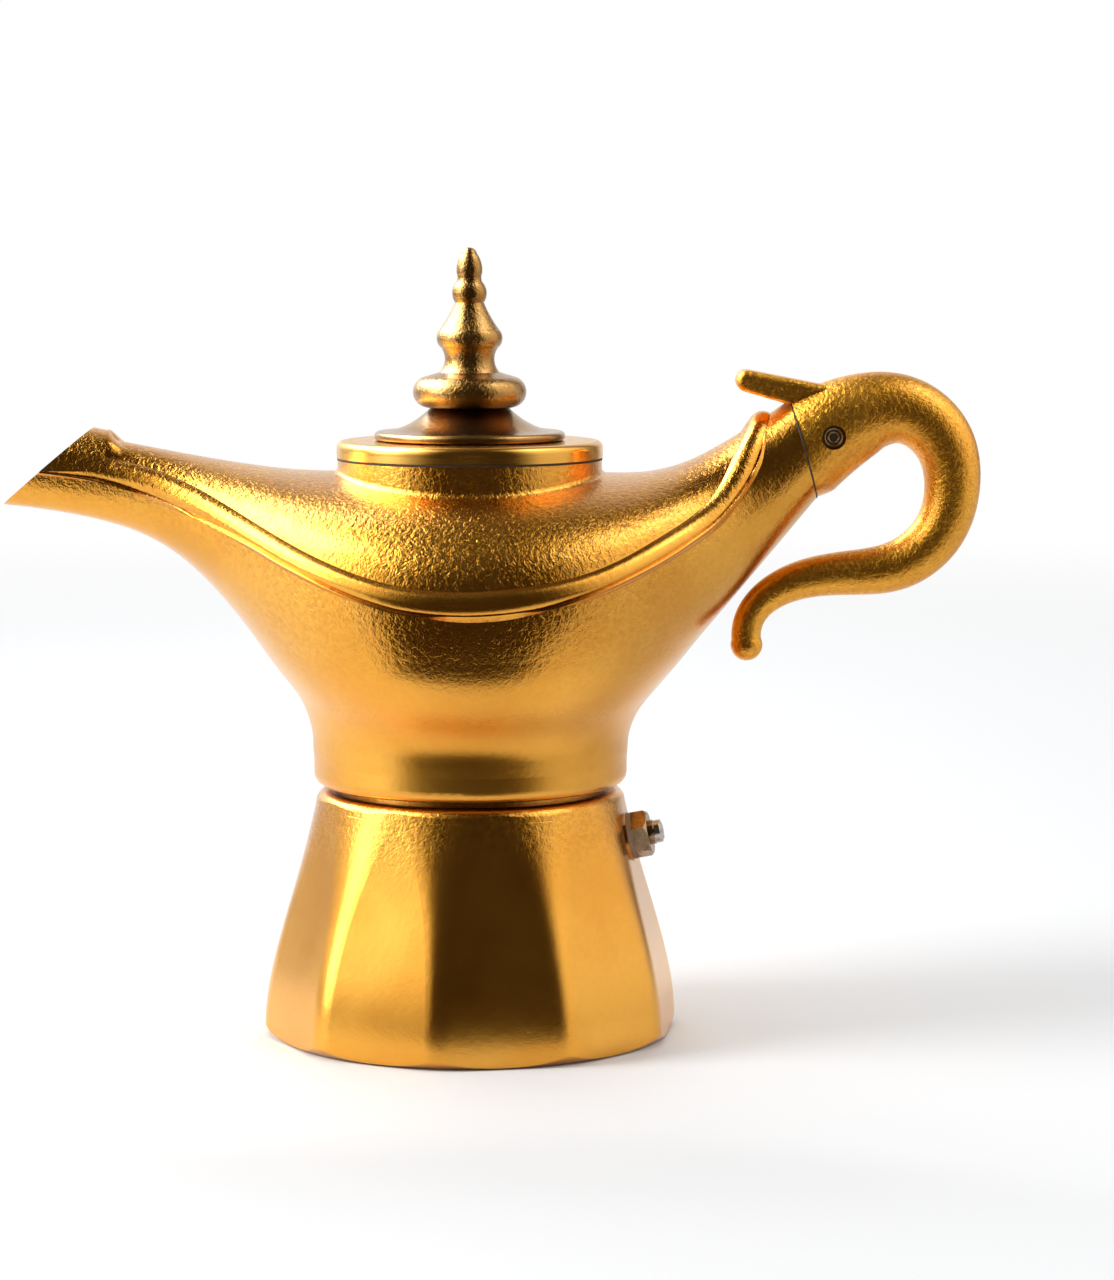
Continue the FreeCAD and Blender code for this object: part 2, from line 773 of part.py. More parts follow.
def lid_dome():
    low = collar_height + lid_thickness
    bead_top = low + dome_bead
    bead_middle = dome_radius - dome_bead / 2
    top = low + dome_height
    rise = [(radius, low + height) for radius, height in dome_flare]
    flare = smooth([(dome_rim, bead_top)] + rise + [(dome_neck, top)]).toShape()
    shape = turned([line((0, low), (bead_middle, low)),
                    arc((bead_middle, low), (dome_radius, low + dome_bead / 2), (bead_middle, bead_top)),
                    line((bead_middle, bead_top), (dome_rim, bead_top)), flare,
                    line((dome_neck, top), (0, top)), line((0, top), (0, low))])
    return shape.cut(ring(screw_radius + screw_clearance, dome_height, low))


def finial():
    low = collar_height + lid_thickness + dome_height

    def at(mark):
        return mark[0], mark[1] + low

    base = (dome_neck, low)
    tip = (0, finial_height + low)
    shape = turned([line((0, low), base), arc(base, at(finial_bun), at(finial_bun_top)),
                    line(at(finial_bun_top), at(finial_cove_low)),
                    arc(at(finial_cove_low), at(finial_neck), at(finial_cove_high)),
                    arc(at(finial_cove_high), at(finial_bell), at(finial_bell_top)),
                    arc(at(finial_bell_top), at(finial_waist), at(finial_pinch)),
                    arc(at(finial_pinch), at(finial_ball), at(finial_ball_top)),
                    arc(at(finial_ball_top), at(finial_groove), at(finial_bullet_low)),
                    arc(at(finial_bullet_low), at(finial_bullet), at(finial_shoulder)),
                    cap(at(finial_shoulder), tip[1]), line(tip, (0, low))])
    return shape.cut(ring(screw_radius, screw_reach, low))


def finial_washer():
    low = collar_height - screw_washer
    return tube(screw_washer_radius, screw_radius + screw_clearance, screw_washer, low)


def finial_screw():
    low = collar_height - screw_washer
    head = ring(screw_head_radius, screw_head, low - screw_head)
    head = head.makeFillet(screw_head / 2, edges_at(head, low - screw_head))
    length = screw_washer + lid_thickness + dome_height + screw_reach
    return head.fuse(ring(screw_radius, length, low)).removeSplitter()


if __name__ == "__main__":
    os.makedirs("parts", exist_ok=True)
    body = boiler_outside()
    seat, axis = valve_frame(body)
    pieces = {
        "boiler": boiler(body, seat, axis),
        "valve_washer": along(valve_washer_ring(), seat, axis),
        "valve_body": along(valve_body(), seat, axis),
        "valve_stem": along(valve_stem(), seat, axis),
        "valve_cap": along(valve_cap_ring(), seat, axis),
        "valve_button": along(valve_button(), seat, axis),
        "valve_spring": along(valve_spring(), seat, axis),
        "funnel": funnel(),
        "funnel_tube": funnel_tube(),
        "funnel_screen": funnel_screen(),
        "gasket": gasket(),
        "filter_plate": filter_plate(),
    }
    upper = {
        "collector": collector(),
        "riser": riser(),
        "handle": handle(),
        "handle_rivet": rivet(),
        "rivet_washers": rivet_washers(),
        "lid_disc": lid_disc(),
        "lid_dome": lid_dome(),
        "finial": finial(),
        "finial_washer": finial_washer(),
        "finial_screw": finial_screw(),
    }
    for name, shape in upper.items():
        pieces[name] = shape.translated(up * pot_height)
    for name, shape in pieces.items():
        print(name, shape.ShapeType, len(shape.Solids), shape.isValid(), round(shape.Volume, 1))
        shape.exportStep("parts/" + name + ".step")
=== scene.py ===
import bpy
import json
import math
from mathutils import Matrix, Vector
from mathutils.bvhtree import BVHTree


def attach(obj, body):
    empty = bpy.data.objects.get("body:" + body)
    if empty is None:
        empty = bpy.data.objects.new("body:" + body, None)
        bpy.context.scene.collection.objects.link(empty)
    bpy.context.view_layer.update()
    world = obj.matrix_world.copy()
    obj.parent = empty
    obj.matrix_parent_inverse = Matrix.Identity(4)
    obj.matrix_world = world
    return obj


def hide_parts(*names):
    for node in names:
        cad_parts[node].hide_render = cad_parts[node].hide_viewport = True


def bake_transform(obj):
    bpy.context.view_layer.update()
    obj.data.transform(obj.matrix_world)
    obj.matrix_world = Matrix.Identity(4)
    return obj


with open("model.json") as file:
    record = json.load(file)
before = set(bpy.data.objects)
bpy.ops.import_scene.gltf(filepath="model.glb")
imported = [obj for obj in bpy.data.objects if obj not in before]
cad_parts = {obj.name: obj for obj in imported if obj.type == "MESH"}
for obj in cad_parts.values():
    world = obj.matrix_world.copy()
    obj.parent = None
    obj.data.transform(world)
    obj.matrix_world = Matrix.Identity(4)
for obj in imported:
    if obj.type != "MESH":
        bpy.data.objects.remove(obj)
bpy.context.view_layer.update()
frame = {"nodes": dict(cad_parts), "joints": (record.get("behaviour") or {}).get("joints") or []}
nodes = frame["nodes"]
scene = bpy.context.scene
mm = 0.001
print("frame loaded,", len(nodes), "nodes")


# small helpers for shader trees
def addNode(tree, kind, settings=None, **inputs):
    node = tree.nodes.new("ShaderNode" + kind)
    for key, value in (settings or {}).items():
        setattr(node, key, value)
    for key, value in inputs.items():
        plug(tree, node.inputs[int(key[1:])] if key[1:].isdigit() else node.inputs[key], value)
    return node


def plug(tree, socket, value):
    if isinstance(value, bpy.types.NodeSocket):
        tree.links.new(value, socket)
    else:
        socket.default_value = value


def sums(tree, operation, first, *others):
    for other in others or (0.0,):
        first = addNode(tree, "Math", {"operation": operation}, i0=first, i1=other).outputs[0]
    return first


def plus(tree, *parts):
    return sums(tree, "ADD", *parts)


def less(tree, *parts):
    return sums(tree, "SUBTRACT", *parts)


def times(tree, *parts):
    return sums(tree, "MULTIPLY", *parts)


def most(tree, *parts):
    return sums(tree, "MAXIMUM", *parts)


def fade(tree, value, start, stop, low=0.0, high=1.0):
    smooth = {"interpolation_type": "SMOOTHSTEP"}
    return addNode(tree, "MapRange", smooth, i0=value, i1=start, i2=stop, i3=low, i4=high).outputs[0]


def mixColour(tree, share, a, b):
    node = addNode(tree, "Mix", {"data_type": "RGBA"})
    plug(tree, node.inputs[0], share)
    plug(tree, node.inputs[6], a)
    plug(tree, node.inputs[7], b)
    return node.outputs[2]


def noise(tree, coords, size, detail=2.0, warp=0.0):
    return addNode(tree, "TexNoise", Vector=coords, Scale=1 / size, Detail=detail, Distortion=warp).outputs[0]


def dimples(tree, coords, size, smoothness):
    return addNode(tree, "TexVoronoi", {"feature": "SMOOTH_F1"}, Vector=coords, Scale=1 / size,
                   Smoothness=smoothness).outputs["Distance"]


def placeOf(tree, coords):
    return addNode(tree, "SeparateXYZ", Vector=coords).outputs


def axisDistance(tree, place):
    return sums(tree, "SQRT", plus(tree, times(tree, place[0], place[0]), times(tree, place[1], place[1])))


def startMaterial(name):
    material = bpy.data.materials.new(name)
    material.use_nodes = True
    tree = material.node_tree
    coords = addNode(tree, "TexCoord").outputs["Object"]
    return material, tree, tree.nodes["Principled BSDF"], coords


def showShader(tree, output):
    tree.links.new(output, tree.nodes["Material Output"].inputs["Surface"])


def dress(material, *names):
    for name in names:
        nodes[name].data.materials.clear()
        nodes[name].data.materials.append(material)


# where a wall faces its own middle, the gold stops and the bare metal shows
bareLook = {"metal": (0.70, 0.70, 0.69, 1), "rougher": 0.12, "soft": 0.2 * mm}


def facesInward(tree, coords, middle):
    normal = addNode(tree, "NewGeometry").outputs["Normal"]
    place = placeOf(tree, coords)
    away = middle(tree, place)
    outward = addNode(tree, "VectorMath", {"operation": "DOT_PRODUCT"}, i0=normal, i1=away).outputs["Value"]
    return fade(tree, outward, bareLook["soft"], -bareLook["soft"]), place


# the moulded band is polished, and so is the casting under it towards spout and tail
bandLook = {
    "line": ((-118, 139.2), (-93, 137.4), (-75, 133.7), (-62, 128.6), (-43, 119.2), (-15, 109.8), (15, 109.9),
             (31, 113.3), (43, 118.5), (55, 125.4), (62, 132.6), (66, 139.6), (69, 148.6), (72, 164.6)),
    "top": 180.0, "half": 2.7, "softEdge": 0.9, "slopeStep": 2.0,
    "ends": (40 * mm, 66 * mm), "bandPolish": 0.8, "bandEnds": 0.2,
    "spout": (-40 * mm, -60 * mm), "spoutBelow": (-4 * mm, -12 * mm), "spoutPolish": 0.85,
    "tail": (40 * mm, 56 * mm), "tailBelow": (0.0, -2 * mm), "tailPolish": 0.45,
}


def polishedBand(tree, coords, look):
    place = placeOf(tree, coords)
    first, last, top = look["line"][0][0], look["line"][-1][0], look["top"]

    def bandHeight(shift):
        share = addNode(tree, "MapRange", i0=plus(tree, place[0], shift * mm), i1=first * mm,
                        i2=last * mm).outputs[0]
        node = addNode(tree, "FloatCurve", i1=share)
        curve = node.mapping.curves[0]
        marks = [((x - first) / (last - first), z / top) for x, z in look["line"]]
        curve.points[0].location, curve.points[1].location = marks[0], marks[-1]
        for mark in marks[1:-1]:
            curve.points.new(*mark)
        node.mapping.update()
        return times(tree, node.outputs[0], top * mm)

    step, half = look["slopeStep"], look["half"]
    slope = sums(tree, "DIVIDE", less(tree, bandHeight(step), bandHeight(-step)), 2 * step * mm)
    stretch = sums(tree, "SQRT", plus(tree, times(tree, slope, slope), 1.0))
    gap = sums(tree, "DIVIDE", less(tree, place[2], bandHeight(0.0)), stretch)
    onBand = fade(tree, sums(tree, "ABSOLUTE", gap), (half + look["softEdge"]) * mm, half * mm)
    middle = fade(tree, sums(tree, "ABSOLUTE", place[0]), *look["ends"], look["bandPolish"], look["bandEnds"])
    band = less(tree, 1.0, times(tree, onBand, middle))
    spout = times(tree, fade(tree, place[0], *look["spout"]), fade(tree, gap, *look["spoutBelow"]))
    tail = times(tree, fade(tree, place[0], *look["tail"]), fade(tree, gap, *look["tailBelow"]))
    under = plus(tree, times(tree, spout, look["spoutPolish"]), times(tree, tail, look["tailPolish"]))
    return times(tree, band, less(tree, 1.0, under))


# what all finishes share
finishLook = {"cloudDetail": 3.0, "grainDetail": 2.0, "rippleDetail": 2.0, "rippleWarp": 1.2,
              "ringDetail": 1.0, "pitSmooth": 0.6, "castCloud": (0.35, 0.65), "plainCloud": (0.3, 0.7),
              "hollow": (0.62, 0.34), "mottle": (0.3, 0.7), "mottleShare": 0.5, "crevice": (0.95, 0.35),
              "creviceSamples": 8}


def mottled(tree, cloud, grain, look):
    share = finishLook["mottleShare"]
    mixed = plus(tree, times(tree, cloud, share), times(tree, grain, share))
    return fade(tree, mixed, *finishLook["mottle"], look["roughLow"], look["roughHigh"])


def setFinish(tree, shader, tone, rough, normal, metallic=1.0):
    plug(tree, shader.inputs["Base Color"], tone)
    plug(tree, shader.inputs["Roughness"], rough)
    plug(tree, shader.inputs["Normal"], normal)
    shader.inputs["Metallic"].default_value = metallic


# cast and lacquered gold, with hammer ripples that fade where the casting was smoothed
def castGold(name, look, bare=None):
    material, tree, shader, coords = startMaterial(name)
    cloud = noise(tree, coords, look["cloudSize"], finishLook["cloudDetail"])
    grain = noise(tree, coords, look["grainSize"], finishLook["grainDetail"])
    ripple = noise(tree, coords, look["rippleSize"], finishLook["rippleDetail"], finishLook["rippleWarp"])
    pits = dimples(tree, coords, look["pitSize"], finishLook["pitSmooth"])
    relief = plus(tree, times(tree, ripple, 1.0 - look["pitShare"]), times(tree, pits, look["pitShare"]))
    height = placeOf(tree, coords)[2]
    force = fade(tree, height, look["smoothLow"], look["smoothHigh"], look["smoothest"], 1.0)
    if "band" in look:
        force = times(tree, force, polishedBand(tree, coords, look["band"]))
    hollow = fade(tree, relief, *finishLook["hollow"])
    tone = mixColour(tree, fade(tree, cloud, *finishLook["castCloud"]), look["amber"], look["gold"])
    tone = mixColour(tree, times(tree, hollow, force, look["hollowShare"]), tone, look["deep"])
    rough = mottled(tree, cloud, grain, look)
    if "satin" in look:
        rough = plus(tree, rough, fade(tree, height, *look["satin"]))
    # ambient occlusion darkens crevices, corners and creases towards a darker colour: partly the casting's
    # patina in its hollows, partly painted shade
    crevice = addNode(tree, "AmbientOcclusion", {"samples": finishLook["creviceSamples"]},
                      Distance=look["creviceReach"]).outputs["AO"]
    crevicePatinaAndShade = fade(tree, crevice, *finishLook["crevice"], 0.0, look["creviceShare"])
    tone = mixColour(tree, crevicePatinaAndShade, tone, look["patinaAndShade"])
    normal = addNode(tree, "Bump", Strength=times(tree, force, look["rippleForce"]),
                     Distance=look["rippleDepth"], Height=relief).outputs[0]
    normal = addNode(tree, "Bump", Strength=look["grainForce"], Distance=look["grainDepth"], Height=grain,
                     Normal=normal).outputs[0]
    if bare:
        inside = bare(tree, coords)
        tone = mixColour(tree, inside, tone, bareLook["metal"])
        rough = plus(tree, rough, times(tree, inside, bareLook["rougher"]))
    setFinish(tree, shader, tone, rough, normal)
    shader.inputs["Coat Weight"].default_value = look["lacquer"]
    shader.inputs["Coat Roughness"].default_value = look["lacquerRough"]
    return material


# turned, drawn or moulded plain stuff: fine rings round the axis, or a soft grain
def plainFinish(name, look):
    material, tree, shader, coords = startMaterial(name)
    cloud = noise(tree, coords, look["cloudSize"], finishLook["cloudDetail"])
    tone = mixColour(tree, fade(tree, cloud, *finishLook["plainCloud"]), look["dark"], look["light"])
    grain = noise(tree, coords, look["grainSize"], finishLook["grainDetail"])
    if "ringPitch" in look:
        place = placeOf(tree, coords)
        waver = times(tree, grain, look["ringPitch"])
        path = addNode(tree, "CombineXYZ", X=axisDistance(tree, place), Y=waver, Z=place[2]).outputs[0]
        grain = noise(tree, path, look["ringPitch"], finishLook["ringDetail"])
    rough = mottled(tree, cloud, grain, look)
    normal = addNode(tree, "Bump", Strength=look["grainForce"], Distance=look["grainDepth"],
                     Height=grain).outputs[0]
    setFinish(tree, shader, tone, rough, normal, look.get("metallic", 1.0))
    return material


lampLook = {
    "gold": (0.83, 0.40, 0.052, 1), "amber": (0.76, 0.335, 0.034, 1), "deep": (0.50, 0.19, 0.014, 1),
    "hollowShare": 0.4, "cloudSize": 28 * mm, "grainSize": 0.28 * mm, "rippleSize": 1.05 * mm,
    "pitSize": 1.5 * mm, "pitShare": 0.3, "rippleDepth": 0.28 * mm, "rippleForce": 0.85, "band": bandLook,
    "grainDepth": 0.02 * mm, "grainForce": 0.35, "roughLow": 0.17, "roughHigh": 0.27,
    "smoothLow": 84 * mm, "smoothHigh": 106 * mm, "smoothest": 0.22, "lacquer": 0.32, "lacquerRough": 0.2,
    "patinaAndShade": (0.34, 0.14, 0.016, 1), "creviceReach": 2.2 * mm, "creviceShare": 0.55,
    "satin": (76 * mm, 88 * mm, 0.11, 0.0),
}
bowlLook = {"flat": 0.02, "level": 0.110, "tailRise": 0.47, "spoutRise": -0.28,
            "lip": (-86 * mm, -80 * mm, 0.0, 0.1), "tail": (64 * mm, 60 * mm),
            "socket": (33.4 * mm, 33.0 * mm), "socketTop": (100 * mm, 99 * mm)}


# the bowl's middle is level round the axis and rises to tail and spout
def lampMiddle(tree, place):
    x = place[0]
    tailClimb = times(tree, less(tree, x, bowlLook["flat"]), bowlLook["tailRise"])
    spoutClimb = times(tree, plus(tree, x, bowlLook["flat"]), bowlLook["spoutRise"])
    level = plus(tree, most(tree, tailClimb, spoutClimb, 0.0), bowlLook["level"])
    along = times(tree, x, fade(tree, x, *bowlLook["lip"]))  # x doesn't count at the lip's step
    return addNode(tree, "CombineXYZ", X=along, Y=place[1], Z=less(tree, place[2], level)).outputs[0]


def lampInside(tree, coords):
    inward, place = facesInward(tree, coords, lampMiddle)
    inward = times(tree, inward, fade(tree, place[0], *bowlLook["tail"]))  # the bowl ends before the tail
    socket = times(tree, fade(tree, axisDistance(tree, place), *bowlLook["socket"]),
                   fade(tree, place[2], *bowlLook["socketTop"]))
    return most(tree, inward, socket)


lampGold = castGold("lampGold", lampLook, lampInside)
dress(lampGold, "collector")

plainCast = {key: value for key, value in lampLook.items() if key not in ("band", "satin")}
boilerLook = dict(plainCast, rippleForce=0.55, grainForce=0.5, roughLow=0.18, roughHigh=0.27,
                  smoothLow=40 * mm, smoothHigh=56 * mm, smoothest=0.16)
chamberLook = {"floor": (44 * mm, 43 * mm), "floorLow": (3.4 * mm, 3.8 * mm), "floorHigh": (9 * mm, 8 * mm),
               "neck": (62.0 * mm, 62.4 * mm)}


def boilerMiddle(tree, place):
    return addNode(tree, "CombineXYZ", X=place[0], Y=place[1], Z=0.0).outputs[0]


def boilerInside(tree, coords):
    inward, place = facesInward(tree, coords, boilerMiddle)
    within = fade(tree, axisDistance(tree, place), *chamberLook["floor"])
    layer = times(tree, fade(tree, place[2], *chamberLook["floorLow"]),
                  fade(tree, place[2], *chamberLook["floorHigh"]))
    return most(tree, inward, times(tree, within, layer), fade(tree, place[2], *chamberLook["neck"]))


boilerGold = castGold("boilerGold", boilerLook, boilerInside)
dress(boilerGold, "boiler")

gripLook = dict(plainCast, gold=(0.97, 0.47, 0.05, 1), amber=(0.86, 0.375, 0.032, 1),
                deep=(0.46, 0.18, 0.012, 1), rippleSize=1.0 * mm, pitSize=1.3 * mm, pitShare=0.25,
                rippleDepth=0.3 * mm, rippleForce=0.9, roughLow=0.31, roughHigh=0.42, hollowShare=0.35,
                smoothLow=0.0, smoothHigh=1 * mm, smoothest=1.0, patinaAndShade=(0.16, 0.07, 0.012, 1),
                creviceReach=3 * mm, creviceShare=0.6)
gripGold = castGold("gripGold", gripLook)
dress(gripGold, "handle")

finialLook = dict(gripLook, gold=(0.47, 0.27, 0.078, 1), amber=(0.37, 0.2, 0.05, 1), rippleSize=0.95 * mm,
                  rippleDepth=0.27 * mm, rippleForce=0.75, roughLow=0.18, roughHigh=0.26,
                  patinaAndShade=(0.12, 0.055, 0.015, 1), creviceReach=6 * mm, creviceShare=0.8)
dress(castGold("finialGold", finialLook), "finial")

domeLook = dict(finialLook, gold=(0.42, 0.24, 0.075, 1), amber=(0.34, 0.18, 0.05, 1), rippleForce=0.3,
                rippleDepth=0.2 * mm)
dress(castGold("domeBronze", domeLook), "lid_dome")

lidLook = {"light": (0.84, 0.47, 0.10, 1), "dark": (0.74, 0.37, 0.065, 1), "cloudSize": 22 * mm,
           "grainSize": 0.4 * mm, "ringPitch": 0.5 * mm, "roughLow": 0.16, "roughHigh": 0.27,
           "grainForce": 0.25, "grainDepth": 0.015 * mm}
dress(plainFinish("lidGold", lidLook), "lid_disc")

hexLook = {"light": (0.42, 0.29, 0.17, 1), "dark": (0.25, 0.16, 0.09, 1), "cloudSize": 3 * mm,
           "grainSize": 0.3 * mm, "roughLow": 0.18, "roughHigh": 0.34, "grainForce": 0.3,
           "grainDepth": 0.03 * mm}
dress(plainFinish("hexBronze", hexLook), "valve_body", "valve_cap")

steelLook = {"light": (0.66, 0.64, 0.62, 1), "dark": (0.50, 0.48, 0.46, 1), "cloudSize": 6 * mm,
             "grainSize": 0.35 * mm, "roughLow": 0.16, "roughHigh": 0.32, "grainForce": 0.25,
             "grainDepth": 0.02 * mm}
steel = plainFinish("valveSteel", steelLook)
dress(steel, "valve_button", "valve_stem", "valve_spring", "finial_screw", "finial_washer")

rivetLook = dict(steelLook, light=(0.46, 0.36, 0.24, 1), dark=(0.24, 0.17, 0.10, 1), cloudSize=1.5 * mm)
dress(plainFinish("rivetSteel", rivetLook), "handle_rivet", "rivet_washers")

drawnLook = {"light": (0.74, 0.74, 0.73, 1), "dark": (0.62, 0.62, 0.61, 1), "cloudSize": 18 * mm,
             "grainSize": 0.5 * mm, "ringPitch": 0.7 * mm, "roughLow": 0.24, "roughHigh": 0.40,
             "grainForce": 0.3, "grainDepth": 0.02 * mm}
drawnAluminium = plainFinish("drawnAluminium", drawnLook)
dress(drawnAluminium, "funnel", "funnel_tube", "funnel_screen", "filter_plate", "riser")

sealLook = {"light": (0.86, 0.84, 0.80, 1), "dark": (0.74, 0.71, 0.66, 1), "cloudSize": 9 * mm,
            "grainSize": 0.4 * mm, "roughLow": 0.42, "roughHigh": 0.58, "grainForce": 0.3,
            "grainDepth": 0.02 * mm, "metallic": 0.0}
dress(plainFinish("siliconeSeal", sealLook), "gasket")
fibreLook = dict(sealLook, light=(0.30, 0.20, 0.13, 1), dark=(0.20, 0.13, 0.08, 1))
dress(plainFinish("fibreSeal", fibreLook), "valve_washer")
print("finishes set on", len(nodes), "nodes")


# small helpers for meshes
def meshPiece(name, points, faces, material, body):
    mesh = bpy.data.meshes.new(name)
    mesh.from_pydata(points, [], faces)
    mesh.materials.append(material)
    mesh.shade_smooth()
    piece = bpy.data.objects.new(name, mesh)
    scene.collection.objects.link(piece)
    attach(piece, body)
    return piece


# quads between rows of equally many points; a loop joins the last row to the first, a wrap closes each row
def quads(rows, count, loop=False, wrap=True, flip=False, first=0):
    faces = []
    for row in range(rows if loop else rows - 1):
        here, there = first + row * count, first + (row + 1) % rows * count
        for k in range(count if wrap else count - 1):
            after = (k + 1) % count
            if loop:
                face = (here + k, there + k, there + after, here + after)
            else:
                face = (here + k, here + after, there + after, there + k)
            faces.append(tuple(reversed(face)) if flip else face)
    return faces


# an open run of rows with both ends capped
def tubeFaces(rows, count, flip):
    last = (rows - 1) * count
    ends = [tuple(reversed(range(count))), tuple(range(last, last + count))]
    return quads(rows, count, flip=flip) + [tuple(reversed(end)) if flip else end for end in ends]


def roundTurns(count):
    return [2 * math.pi * k / count for k in range(count)]


# unit directions round a circle
def roundRun(count, across=Vector((1, 0, 0)), over=Vector((0, 1, 0))):
    return [across * math.cos(turn) + over * math.sin(turn) for turn in roundTurns(count)]


def evened(run, rounds):
    for again in range(rounds):
        run = [run[0]] + [(a + b * 2 + c) / 4 for a, b, c in zip(run, run[1:], run[2:])] + [run[-1]]
    return run


def ease(value, start, stop):
    share = min(1.0, max(0.0, (value - start) / (stop - start)))
    return share * share * (3 - 2 * share)


def skinOf(name):
    mesh = nodes[name].data
    return BVHTree.FromPolygons([v.co for v in mesh.vertices], [tuple(f.vertices) for f in mesh.polygons])


lampSkin = skinOf("collector")

# crisp lower edge of the moulded band: x and height along it, laid onto the casting from both sides
edgeLook = {
    "line": ((-102.1, 136.0), (-94.1, 135.1), (-85.3, 133.5), (-76.6, 130.7), (-67.7, 127.4), (-58.6, 123.9),
             (-49.4, 120.0), (-40.3, 115.6), (-19.3, 107.9), (-8.7, 106.2), (1.7, 105.6), (12.0, 106.4),
             (21.4, 108.3), (39.9, 114.8), (52.4, 121.3), (58.6, 125.4), (63.1, 130.1), (66.9, 135.0),
             (69.6, 140.3), (70.4, 146.0)),
    "profile": ((0.75, -0.9), (0.95, 0.7), (0.7, 0.95), (-0.95, -0.12)), "steps": 160, "knotSteps": 12,
    "taper": 12, "thinnest": 0.3, "reach": 0.2, "evenPath": 4, "evenOuts": 12, "sharp": 50,
}


# evenly spaced places on a smooth curve through the points
def throughPoints(points, steps, knotSteps):
    curve = bpy.data.curves.new("guide", "CURVE")
    curve.dimensions = "3D"
    spline = curve.splines.new("BEZIER")
    spline.bezier_points.add(len(points) - 1)
    for knot, point in zip(spline.bezier_points, points):
        knot.co = point
        knot.handle_left_type = knot.handle_right_type = "AUTO"
    curve.resolution_u = knotSteps
    holder = bpy.data.objects.new("guide", curve)
    mesh = bpy.data.meshes.new_from_object(holder)
    run = [vertex.co.copy() for vertex in mesh.vertices]
    bpy.data.objects.remove(holder)
    bpy.data.curves.remove(curve)
    bpy.data.meshes.remove(mesh)
    marks = [0.0]
    for before, after in zip(run, run[1:]):
        marks.append(marks[-1] + (after - before).length)
    spaced, index = [], 0
    for step in range(steps + 1):
        goal = marks[-1] * step / steps
        while index < len(run) - 2 and marks[index + 1] < goal:
            index += 1
        share = (goal - marks[index]) / (marks[index + 1] - marks[index])
        spaced.append(run[index].lerp(run[index + 1], share))
    return spaced


def bandEdge(name, side):
    line = [Vector((x * mm, 0, z * mm)) for x, z in edgeLook["line"]]
    flat = throughPoints(line, edgeLook["steps"], edgeLook["knotSteps"])
    starts = [Vector((place.x, side * edgeLook["reach"], place.z)) for place in flat]
    hits = [lampSkin.ray_cast(start, Vector((0, -side, 0))) for start in starts]
    path = evened([hit[0] for hit in hits], edgeLook["evenPath"])
    outs = evened([hit[1] for hit in hits], edgeLook["evenOuts"])
    points, last, thinnest = [], len(path) - 1, edgeLook["thinnest"]
    for k, place in enumerate(path):
        ahead = (path[min(k + 1, last)] - path[max(k - 1, 0)]).normalized()
        out = (outs[k] - ahead * outs[k].dot(ahead)).normalized()
        over = out.cross(ahead) * -side
        size = mm * min(1.0, thinnest + (1 - thinnest) * min(k, last - k) / edgeLook["taper"])
        points.extend(place + (over * u + out * n) * size for u, n in edgeLook["profile"])
    faces = tubeFaces(len(path), len(edgeLook["profile"]), side > 0)
    piece = meshPiece(name, points, faces, lampGold, "upper_pot")
    piece.data.set_sharp_from_angle(angle=math.radians(edgeLook["sharp"]))


bandEdge("bandEdgeFront", -1)
bandEdge("bandEdgeBack", 1)

# smooth skin over the sweep from skirt to hull, so that the casting flows without a crease
sweepLook = {"low": 65.0, "high": 99.0, "step": 0.5, "turns": 180, "soften": 30, "proud": 0.22, "sink": 0.06,
             "lowBlend": 5.0, "highBlend": 9.0, "reach": 0.2}


def skirtSweep():
    low, high, step, far = (sweepLook[key] for key in ("low", "high", "step", "reach"))
    levels = [low + step * k for k in range(round((high - low) / step) + 1)]
    points = []
    for out in roundRun(sweepLook["turns"]):
        starts = [out * far + Vector((0, 0, level * mm)) for level in levels]
        radii = [(far - lampSkin.ray_cast(start, -out)[3]) / mm for start in starts]
        for level, radius in zip(levels, evened(radii, sweepLook["soften"])):
            shown = min(ease(level, low, low + sweepLook["lowBlend"]),
                        ease(level, high, high - sweepLook["highBlend"]))
            lift = shown * (sweepLook["proud"] + sweepLook["sink"]) - sweepLook["sink"]
            points.append(out * (radius + lift) * mm + Vector((0, 0, level * mm)))
    faces = quads(sweepLook["turns"], len(levels), loop=True, wrap=False)
    meshPiece("skirtSweep", points, faces, lampGold, "upper_pot")


skirtSweep()

# screw thread between boiler and upper pot, one ridge on the neck and its partner in the skirt
threadLook = {"pitch": 3.0, "ridge": 0.72, "root": 1.5, "crest": 0.5, "sink": 0.1, "perTurn": 72,
              "firstGrow": 0.05, "fadeSteps": 14, "neckRadius": 31.7, "neckLow": 61.6, "neckTurns": 2.1,
              "skirtRadius": 32.8, "skirtLow": 62.0, "skirtTurns": 1.9, "skirtLag": 0.5}
threadMetal = plainFinish("threadMetal", dict(drawnLook, cloudSize=6 * mm))


def threadRidge(name, radius, inward, low, turns, lag, body):
    pitch, root, crest = (threadLook[key] for key in ("pitch", "root", "crest"))
    count = round(turns * threadLook["perTurn"])
    start = 2 * math.pi * (low - threadLook["neckLow"] - lag * pitch) / pitch
    inner = radius + inward * threadLook["sink"]
    points = []
    for k in range(count + 1):
        angle = 2 * math.pi * k / threadLook["perTurn"]
        height = low + pitch * angle / (2 * math.pi)
        grow = min(1.0, threadLook["firstGrow"] + min(k, count - k) / threadLook["fadeSteps"])
        outer = radius - inward * threadLook["ridge"] * grow
        for r, up in ((inner, -root), (outer, -crest), (outer, crest), (inner, root)):
            points.append((r * math.cos(angle + start) * mm, r * math.sin(angle + start) * mm,
                           (height + up / 2 * grow) * mm))
    meshPiece(name, points, tubeFaces(count + 1, 4, inward > 0), threadMetal, body)


threadRidge("neckThread", threadLook["neckRadius"], -1, threadLook["neckLow"], threadLook["neckTurns"], 0.0,
            "boiler")
threadRidge("skirtThread", threadLook["skirtRadius"], 1, threadLook["skirtLow"], threadLook["skirtTurns"],
            threadLook["skirtLag"], "upper_pot")

